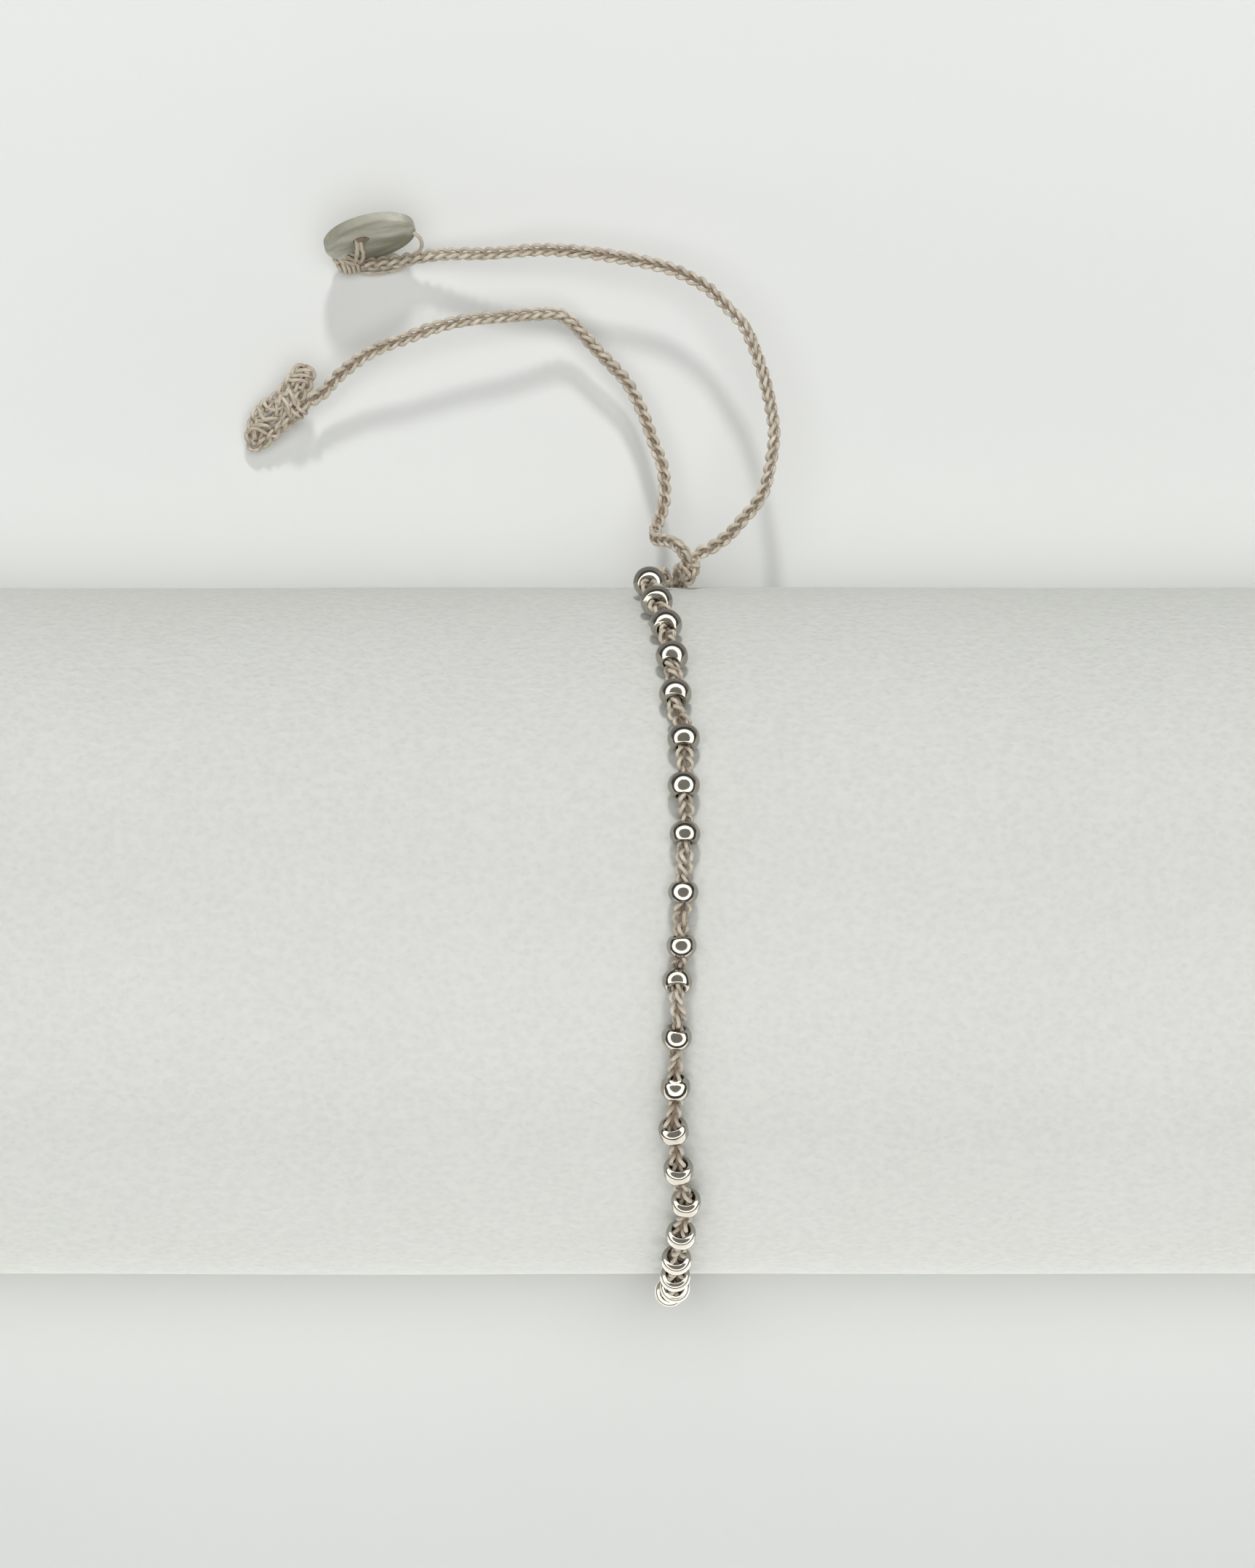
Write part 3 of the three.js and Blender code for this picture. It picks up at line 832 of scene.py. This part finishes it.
def skin_place(x, across, up, drawn, middle):
    """A place on the bolster's skin, pushed out by the padding and drawn in by so much."""
    outward = Vector((0, across, up - middle.z)).normalized()
    place = Vector((x, across, up))
    soft = smooth_step(up, 1 * MM, 9 * MM)
    swell = noise.noise(place / SWELL_SIZE) * SWELL_DEPTH * soft
    puckers = 0.0
    inside_seam = SEAM_PLACE - abs(x)
    if inside_seam > 0:
        turn = math.atan2(up - BOLSTER_AXIS_HEIGHT, across)
        folds = noise.noise(Vector((turn * 9, x / (9 * MM), 3.1)))
        puckers = folds * PUCKER_DEPTH * soft * math.exp(-inside_seam / PUCKER_REACH)
    place += outward * (swell + puckers - drawn)
    place.z = max(place.z, 0.0)
    return place


def bolster_skin():
    """Rings of points along the bolster, closed at both ends by a few rings and a pole."""
    section = outer_section()
    around = len(section)
    half = BOLSTER_LENGTH / 2
    middle = Vector((0, 0, END_MIDDLE_HEIGHT))
    points, faces = [], []
    for x, inset in bolster_stations():
        pressed = smooth_step(abs(x), *(GROOVE_HALF_WIDTH + edge for edge in GROOVE_EDGE))
        drawn = inset + SEAM_DEPTH * math.exp(-((abs(x) - SEAM_PLACE) / SEAM_WIDTH) ** 2)
        for out, groove in section:
            across, up = (o + (g - o) * pressed for o, g in zip(out, groove))
            points.append(skin_place(x, across, up, drawn, middle))
    rings = len(points) // around
    for ring in range(rings - 1):
        faces.extend(band(ring * around, (ring + 1) * around, around))
    for end, side in ((0, -1), (rings - 1, 1)):
        last = end * around
        rim = points[last:last + around]
        closing = []
        for share in END_RINGS:
            x = side * (half - BOLSTER_CROWN * share ** 2)
            closing.extend(band(last, len(points), around))
            last = len(points)
            points.extend(Vector((x, *(middle + (corner - middle) * share).yz)) for corner in rim)
        closing.extend(fan(last, len(points), around))
        points.append(Vector((side * half, middle.y, middle.z)))
        faces.extend(face if side > 0 else face[::-1] for face in closing)
    return new_mesh("bolster_skin", points, faces)


def bolster():
    piece = into_scene("bolster_skin", bolster_skin())
    take(piece)
    bpy.ops.object.mode_set(mode="EDIT")
    bpy.ops.mesh.select_all(action="SELECT")
    bpy.ops.mesh.normals_make_consistent(inside=False)
    take(piece)
    bpy.ops.object.shade_smooth()
    finish_piece(piece, "bolster_skin", LEATHERETTE, "display_bolster")


bolster()


# The beads: one is drilled from a round blank, and each place on the cord gets a copy, dented in its own way

def bead_form():
    """A barrel that is rounded along its length, with a wide hole drilled along Z."""
    clear_selection()
    bpy.ops.mesh.primitive_uv_sphere_add(segments=48, ring_count=40, radius=1)
    piece = bpy.context.object
    piece.scale = (BEAD_RADIUS, BEAD_RADIUS, BEAD_BARREL)
    settle(piece)
    drill(piece, sides=48, radius=BEAD_HOLE_RADIUS, depth=4 * BEAD_RADIUS)
    round_edges(piece, BEAD_LIP, segments=3, sharper_than=35)
    return piece


def bead_place(number):
    """The middle of a bead, and the way that its hole runs."""
    corners = np.array([v.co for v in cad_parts[f"bead_{number:02d}"].data.vertices])
    corners = np.unique(np.round(corners, 7), axis=0)
    middle = corners.mean(axis=0)
    away = np.linalg.norm(corners - middle, axis=1)
    rims = corners[away < away.min() * 1.08] - middle
    axis = np.linalg.eigh(rims.T @ rims)[1][:, -1]
    return Vector(middle), Vector(axis)


def front_share(middle):
    """How far a bead is one of the drums at the bolster's front, from 0 to 1."""
    return smooth_step(-middle.y, 9 * MM, 17 * MM)


def drum_radius(z):
    """How wide a drum with a straight side and a round shoulder is."""
    past = min(DRUM_SHOULDER, max(0.0, abs(z) - BEAD_LENGTH / 2 + DRUM_SHOULDER))
    return BEAD_RADIUS - DRUM_SHOULDER + math.sqrt(DRUM_SHOULDER ** 2 - past ** 2)


def bead_copy(form, number, middle, axis):
    """One bead. Those at the front of the bolster have a wider end towards its top, and those in view at
    its back are a little larger."""
    mesh = form.data.copy()
    drum = front_share(middle)
    larger = IN_VIEW_LARGER + AT_BACK_LARGER * smooth_step(middle.y, 4 * MM, 15 * MM)
    size = 1 + larger * smooth_step(middle.z, 6 * MM, 14 * MM) * (1 - drum)
    turn = axis.to_track_quat("Z", "Y").to_matrix().to_4x4()
    spread = Matrix.Rotation(number * TURN_STEP, 4, "Z")
    hand = Vector((number * DENT_STEP, 0, 0))
    tarnish = mesh.attributes.new("tarnish", "FLOAT", "POINT")
    uneven_ends = BEAD_UNEVEN_ENDS * math.sin(number * CUT_STEP) * (1 - drum)
    flat = {side: BEAD_FLAT_END * (1 + side * uneven_ends) + DRUM_EXTRA_END * drum for side in (1, -1)}
    for i, vertex in enumerate(mesh.vertices):
        co = vertex.co
        out = math.hypot(co.x, co.y)
        lip = 1 - smooth_step(out, BEAD_HOLE_RADIUS, BEAD_HOLE_RADIUS + 0.1 * MM)
        dent = noise.noise(co / BEAD_DENT_SIZE + hand) * BEAD_DENT * (1 - lip)
        tarnish.data[i].value = (BEAD_TARNISH - DRUM_CLEANER * drum) * lip
        end = flat[1 if co.z > 0 else -1]
        if abs(co.z) > end:
            co.z = math.copysign(end + (abs(co.z) - end) * BEAD_END_SLOPE, co.z)
        co = co + Vector((co.x, co.y, co.z * 0.6)).normalized() * dent
        if co.z < 0:
            if out > BEAD_HOLE_RADIUS + 0.001 * MM:
                widened = drum_radius(co.z) - out
            else:
                widened = (DRUM_WIDE_HOLE - out) * smooth_step(-co.z, 0.2 * MM, 0.8 * MM)
            co += Vector((co.x, co.y, 0)).normalized() * max(0.0, drum * widened)
        vertex.co = co * size
    mesh.transform(Matrix.Translation(middle) @ turn @ spread)
    mesh.shade_smooth()
    name = f"silver_bead_{number:02d}"
    finish_piece(into_scene(name, mesh), name, SILVER, f"bead_{number:02d}")


def beads():
    """Makes the beads, and gives back their middles and the ways on through their holes."""
    form = bead_form()
    places = []
    for number in range(1, BEAD_COUNT + 1):
        middle, axis = bead_place(number)
        onward = middle - places[-1][0] if places else Vector((0, -0.3, 1))
        if axis.dot(onward) < 0:
            axis = -axis
        bead_copy(form, number, middle, axis)
        places.append((middle, axis))
    bpy.data.objects.remove(form)
    return places


BEAD_PLACES = beads()


# The crocheted cord through the beads

def bead_chain():
    """Chain that is narrow inside the beads and full between them, and turns a little either way."""
    stops = list(in_metres(CORD_START))
    for middle, axis in BEAD_PLACES:
        stops += [np.array(middle - axis * MOUTH), np.array(middle + axis * MOUTH)]
    route = smooth_line([*stops, *in_metres(CORD_FINISH)], CORD_SPACING)
    reach = distances(route)
    centres = np.array([
        reach[np.argmin(np.linalg.norm(route - np.array(middle), axis=1))] for middle, _ in BEAD_PLACES
    ])
    ahead = directions(route)
    across = np.array([1.0, 0, 0]) - ahead * ahead[:, :1]
    across /= np.linalg.norm(across, axis=1, keepdims=True)
    wobble = np.array([noise.noise(Vector((s / WOBBLE_LENGTH, 0.4, 0))) for s in reach])
    sides, ups = turned(ahead, across, wobble * WOBBLE)

    def width(s):
        nearest = np.abs(centres - s).argmin()
        middle = BEAD_PLACES[nearest][0]
        inside = INSIDE_BEADS + WIDER_IN_DRUMS * front_share(middle)
        between = BETWEEN_BEADS + WIDER_AT_BACK * smooth_step(middle.y, -4 * MM, 5 * MM)
        outside = smooth_step(abs(centres[nearest] - s), 0.85 * MM, 1.5 * MM)
        return inside + (between - inside) * outside

    strand = Yarn()
    strand.add(*chain_yarn(route, sides, ups, width))
    # A core strand, fully darkened with painted shade
    strand.add(route, 1.0, CORE_RADIUS)
    strand.make("bead_chain", "bead_cord")


bead_chain()


# The knots

def tie_knot():
    """An overhand knot of the chain, pulled tight."""
    turns = np.linspace(0, FULL_TURN, 160)
    lobes = np.stack([
        (np.sin(turns) + 2 * np.sin(2 * turns)) * 0.24 * MM,
        (np.cos(turns) - 2 * np.cos(2 * turns)) * 0.3 * MM,
        -np.sin(3 * turns) * 0.42 * MM,
    ], axis=1) + np.array(middle_of("tie_knot"))
    strand = Yarn()
    route = smooth_line(lobes, KNOT_SPACING)
    strand.add_chain(route, (0.2, 0.1, 1), (0, 0), width=0.72, stitch=0.9 * MM)
    strand.make("tied_knot", "tie_knot")


def on_button(level, down, out):
    """A place on the button: millimetres along its level width, down its face and out from its middle."""
    along, face, below = button_axes()
    return np.array(middle_of("button") + (along * level + below * down + face * out) * MM)


def shank_knot():
    """The tangle of yarn that fastens the button, its threads through the hole, and a loose strand."""
    middle = np.array(middle_of("button_shank_knot")) + in_metres((0.1, 0.5, 0.3))
    strand = Yarn()
    for offset, *turns, depth in SHANK_WINDINGS:
        strand.add(winding(middle + in_metres(offset), *turns), depth)
    # The knot's core, fully darkened with painted shade
    strand.add(middle + in_metres(SHANK_CORE), 1.0, 0.5 * MM)
    level, down, wide = BUTTON_HOLES[0]
    # A thick strand through the hole, fully darkened with painted shade
    strand.add([on_button(level + at, down, -0.1) for at in (-0.25, 0.0, 0.3)], 1.0, (wide - 0.15) * MM)
    for side, bend in ((-0.45, -0.7), (-0.1, -0.1)):
        strand.add(smooth_line([
            on_button(level + side, down, -0.3), on_button(level + side, down + 0.1, 0.65),
            on_button(level + bend, down + 1.5, 0.95), on_button(level + bend - 0.5, down + 3.0, 0.9),
            middle + in_metres((2 * side, 0.4, 0.3)), middle,
        ], THREAD_SPACING), 0.1)
    strand.add(smooth_line(in_metres(LOOSE_STRAND), THREAD_SPACING), 0.1)
    return strand.make("shank_turns", "button_shank_knot")


tie_knot()
SHANK = shank_knot()


# The button

def button():
    """A disc with a raised rim round a dished face, and two thread holes."""
    clear_selection()
    bpy.ops.mesh.primitive_cylinder_add(vertices=64, radius=BUTTON_RADIUS, depth=BUTTON_THICKNESS)
    piece = bpy.context.object
    for side in (1, -1):
        pick_faces(piece, lambda f, side=side: f.normal.z * side > 0.9)
        bpy.ops.mesh.inset(thickness=BUTTON_RIM)
        for slope, drop in BUTTON_DISH:
            bpy.ops.mesh.inset(thickness=slope)
            bpy.ops.transform.translate(value=(0, 0, -side * drop))
    round_edges(piece, BUTTON_EDGE, segments=4, sharper_than=22)
    for level, down, radius in BUTTON_HOLES:
        place = (level * MM, -down * MM, 0)
        drill(piece, sides=28, radius=radius * MM, depth=2 * BUTTON_THICKNESS, location=place)
    take(piece)
    bpy.ops.object.shade_smooth_by_angle(angle=math.radians(32))
    level, face, down = button_axes()
    turn = Matrix((level, -down, face)).transposed().to_4x4()
    piece.data.transform(Matrix.Translation(middle_of("button")) @ turn)
    return finish_piece(piece, "shell_button", SHELL, "button")


BUTTON = button()


# The button loop

def button_loop():
    """A flattened ring of crochet chain, filled with chain, with loose stitches over both of its sides."""
    middle = on_loop(0, 0)
    up, across = on_loop(0, 0, 1) - middle, on_loop(0, 1) - middle
    outline = smooth_line([on_loop(*place) for place in LOOP_OUTLINE], LOOP_SPACING)
    side_chain = smooth_line([on_loop(*place) for place in LOOP_SIDE_CHAIN], LOOP_SPACING)
    filling = smooth_line([
        on_loop(along, 0.1 + 0.3 * math.sin(along * 1.9), 0.1 * math.cos(along * 2.3))
        for along in np.arange(-3.9, 4, 0.6)
    ], LOOP_SPACING)
    strand = Yarn()
    strand.add_chain(outline, up, (0.6, 0.6), width=0.95)
    strand.add_chain(side_chain, across, (-0.6, 0.8), width=1.0, core_depth=0.75)
    strand.add_chain(filling, across, (0.4, 2.2), width=0.8, stitch=0.95 * MM, core_depth=0.9)
    for begin, end, side, laps in LOOP_STITCHES:
        turns = np.linspace(0, laps * FULL_TURN, laps * 28)
        uneven = [noise.noise(Vector((t * 0.5, begin, 0))) for t in turns]
        strand.add([
            on_loop(begin + (end - begin) * t / turns[-1] + 0.45 * math.cos(t) + 0.5 * u,
                    side + (0.75 + 0.3 * u) * math.cos(t + begin), 0.52 * math.sin(t + begin))
            for t, u in zip(turns, uneven)
        ], 0.1)
    strand.add(winding(on_loop(0.6, -1.6), on_loop(1.0, -1.65) - on_loop(0, -1.5), 1.6, 0.6, 3, 0.15), 0.2)
    return strand.make("loop_chain", "button_loop")


LOOP = button_loop()


# The free tails' first points, lengths and routes, reckoned but not used further

def declare_tail(piece, route):
    tuple(route[0])
    float(distances(route)[-1])
    [tuple(p) for p in route]


declare_tail(button_tail, button_route)
declare_tail(loop_tail, loop_route)


# Floor, light and camera

def mirrored(tree):
    """1 for what a shining surface in plain view reflects, and 0 for all else."""
    rays = add_node(tree, "LightPath").outputs
    straight = worked(tree, "LESS_THAN", rays["Diffuse Depth"], 0.5)
    return worked(tree, "MULTIPLY", rays["Is Glossy Ray"], straight)


def shader_mix(tree, share, below, above):
    return add_node(tree, "MixShader", {"Fac": share, 1: below, 2: above}).outputs["Shader"]


def floor():
    """A pale floor. What shines sees it glow as a painted reflection, bright in front of the bolster and dim
    behind.
    """
    clear_selection()
    bpy.ops.mesh.primitive_plane_add(size=0.4, location=(0, 0, -0.02 * MM))
    piece = bpy.context.object
    piece.name = "floor"
    settle(piece)
    material, tree, shader = new_material("pale_floor", Roughness=0.8)
    tone = place_group(
        tree, MOTTLE, object_place(tree), Scale=30.0, Sharpness=1.0,
        Low=(0.80, 0.815, 0.79, 1), High=(0.824, 0.834, 0.814, 1),
    )
    feed(tree, shader, {"Base Color": tone["Colour"]})
    place = add_node(tree, "TexCoord").outputs["Object"]
    back = add_node(tree, "SeparateXYZ", {"Vector": place}).outputs["Y"]
    # Painted reflection: a glow that only what shines sees
    level = mapped(tree, back, -GLOW_EDGE, GLOW_EDGE, FRONT_GLOW, BACK_GLOW)
    glow = add_node(tree, "Emission", {"Color": GLOW_WHITE, "Strength": level})
    surface = shader_mix(tree, mirrored(tree), shader.outputs["BSDF"], glow.outputs["Emission"])
    feed(tree, tree.nodes["Material Output"], {"Surface": surface})
    piece.data.materials.append(material)


def studio_sky():
    world = bpy.data.worlds.new("studio")
    bpy.context.scene.world = world
    world.use_nodes = True
    tree = world.node_tree
    place = add_node(tree, "TexCoord").outputs["Generated"]
    parts = add_node(tree, "SeparateXYZ", {"Vector": place}).outputs
    height = mapped(tree, parts["Z"], -1, 1, 0, 1)

    def by_height(levels):
        ramp = add_node(tree, "FloatCurve", {"Factor": 1.0, "Value": height})
        curve = ramp.mapping.curves[0]
        brightest = max(level for _, level in levels)
        while len(curve.points) < len(levels):
            curve.points.new(0.5, 0.5)
        for point, (at, level) in zip(curve.points, levels):
            point.location = (at, level / brightest)
            point.handle_type = "VECTOR"
        ramp.mapping.update()
        return worked(tree, "MULTIPLY", ramp.outputs["Value"], brightest)

    soft = by_height(ALL_ROUND)
    for levels, way in ((FROM_FRONT, -1.0), (FROM_BACK, 1.0)):
        share = worked(tree, "MAXIMUM", worked(tree, "MULTIPLY", parts["Y"], way), 0.0)
        soft = worked(tree, "ADD", soft, worked(tree, "MULTIPLY", by_height(levels), share))
    light = tree.nodes["Background"]
    feed(tree, light, {"Color": WHITE, "Strength": soft})
    result = light.outputs["Background"]
    seen = add_node(tree, "LightPath").outputs["Is Camera Ray"]
    for share, colour, strength in (
        (mirrored(tree), LAMP_WHITE, by_height(RING_LAMP)), (seen, BACKGROUND, 1.0),
    ):
        light = add_node(tree, "Background", {"Color": colour, "Strength": strength})
        result = shader_mix(tree, share, result, light.outputs["Background"])
    feed(tree, tree.nodes["World Output"], {"Surface": result})


def back_light():
    lamp = bpy.data.lights.new("back_light", "SUN")
    lamp.energy = BACK_LIGHT_STRENGTH
    lamp.angle = BACK_LIGHT_WIDTH
    piece = into_scene("back_light", lamp)
    towards = Vector((0, math.sin(BACK_LIGHT_TIP), math.cos(BACK_LIGHT_TIP)))
    piece.rotation_mode = "QUATERNION"
    piece.rotation_quaternion = towards.to_track_quat("Z", "Y")


def camera():
    lens = bpy.data.cameras.new("camera")
    lens.sensor_width = SENSOR
    lens.lens = SENSOR * (CAMERA_HEIGHT - SHARP_HEIGHT) / FRAME_HEIGHT
    lens.clip_start, lens.clip_end = 0.05, 20
    piece = into_scene("camera", lens)
    piece.location = (*FRAME_MIDDLE, CAMERA_HEIGHT)
    bpy.context.scene.camera = piece


floor()
studio_sky()
back_light()
camera()
bpy.context.scene.view_settings.view_transform = "Standard"
